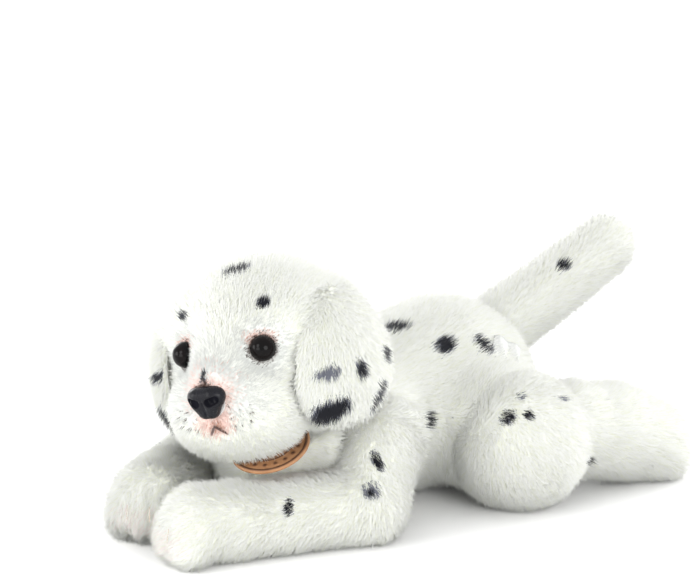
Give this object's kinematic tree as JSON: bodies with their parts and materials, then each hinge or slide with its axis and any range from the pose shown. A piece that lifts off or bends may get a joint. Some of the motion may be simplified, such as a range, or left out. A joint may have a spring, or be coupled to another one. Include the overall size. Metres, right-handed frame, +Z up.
{
  "type": "plush dog",
  "caption": "Lying plush puppy in white fur cloth with black spots: stuffed body, head, legs and tail sewn on, floppy ears, moulded eyes and nose, round tag under the chin.",
  "frame": {"origin": "on the ground under the centre of the bounding box", "axes": "+Z up, nose towards -Y, tail towards +Y, the dog's left side towards +X"},
  "size_m": [0.234, 0.3928, 0.164],
  "materials": {
    "white_fur": "soft white pile with airbrushed black spots",
    "fibre_filling": "loose white polyester fibre",
    "ear_lining": "short white pile",
    "eye_plastic": "glossy, near black with a dark brown rim",
    "nose_plastic": "semi-gloss black",
    "washer_plastic": "natural white",
    "brown_thread": "thick embroidery thread",
    "tan_leather": "matte tan with embossed rings",
    "pin_plastic": "clear natural",
    "label_satin": "plain white satin"
  },
  "bodies": {
    "torso": {"torso_skin": "white_fur", "torso_stuffing": "fibre_filling", "care_label": "label_satin"},
    "head": {"head_skin": "white_fur", "head_stuffing": "fibre_filling", "eye_left": "eye_plastic", "eye_right": "eye_plastic", "eye_washer_left": "washer_plastic", "eye_washer_right": "washer_plastic", "nose": "nose_plastic", "nose_washer": "washer_plastic", "mouth_stitch": "brown_thread", "tag_pin": "pin_plastic"},
    "ear_left": {"ear_left_fur": "white_fur", "ear_left_lining": "ear_lining"},
    "ear_right": {"ear_right_fur": "white_fur", "ear_right_lining": "ear_lining"},
    "front_leg_left": {"front_leg_left_skin": "white_fur", "front_leg_left_stuffing": "fibre_filling", "toe_threads_front_left": "brown_thread"},
    "front_leg_right": {"front_leg_right_skin": "white_fur", "front_leg_right_stuffing": "fibre_filling", "toe_threads_front_right": "brown_thread"},
    "hind_leg_left": {"hind_leg_left_skin": "white_fur", "hind_leg_left_stuffing": "fibre_filling", "toe_threads_hind_left": "brown_thread"},
    "hind_leg_right": {"hind_leg_right_skin": "white_fur", "hind_leg_right_stuffing": "fibre_filling", "toe_threads_hind_right": "brown_thread"},
    "tail": {"tail_skin": "white_fur", "tail_stuffing": "fibre_filling"},
    "tag": {"round_tag": "tan_leather"}
  },
  "joints": [
    {"name": "head_turn", "type": "hinge", "parent": "torso", "child": "head", "pos_m": [0.0075, -0.087, 0.107], "axis": [0, 0, 1], "range_deg": [-15, 15], "stiffness_Nm_per_rad": 0.4},
    {"name": "ear_left_flap", "type": "hinge", "parent": "head", "child": "ear_left", "pos_m": [0.04414, -0.06965, 0.15251], "axis": [0.3099, -0.9483, 0.068], "range_deg": [0, 55]},
    {"name": "ear_right_flap", "type": "hinge", "parent": "head", "child": "ear_right", "pos_m": [-0.04706, -0.10106, 0.13023], "axis": [-0.3099, 0.9483, -0.068], "range_deg": [0, 55]},
    {"name": "front_leg_left_swing", "type": "hinge", "parent": "torso", "child": "front_leg_left", "pos_m": [0.05, -0.04, 0.05], "axis": [0, 0, 1], "range_deg": [0, 30], "stiffness_Nm_per_rad": 0.15},
    {"name": "front_leg_right_swing", "type": "hinge", "parent": "torso", "child": "front_leg_right", "pos_m": [-0.05, -0.04, 0.05], "axis": [0, 0, -1], "range_deg": [0, 30], "stiffness_Nm_per_rad": 0.15},
    {"name": "hind_leg_left_swing", "type": "hinge", "parent": "torso", "child": "hind_leg_left", "pos_m": [0.075, 0.05, 0.0406], "axis": [0, 0, -1], "range_deg": [0, 30], "stiffness_Nm_per_rad": 0.15},
    {"name": "hind_leg_right_swing", "type": "hinge", "parent": "torso", "child": "hind_leg_right", "pos_m": [-0.075, 0.05, 0.0406], "axis": [0, 0, 1], "range_deg": [0, 30], "stiffness_Nm_per_rad": 0.15},
    {"name": "tail_wag", "type": "hinge", "parent": "torso", "child": "tail", "pos_m": [0, 0.098, 0.083], "axis": [0, 0, 1], "range_deg": [-17, 17], "stiffness_Nm_per_rad": 0.1},
    {"name": "tag_swing", "type": "hinge", "parent": "head", "child": "tag", "pos_m": [0.03447, -0.0964, 0.06911], "axis": [0.1396, -0.4187, 0.8973], "range_deg": [-10, 10]}
  ]
}
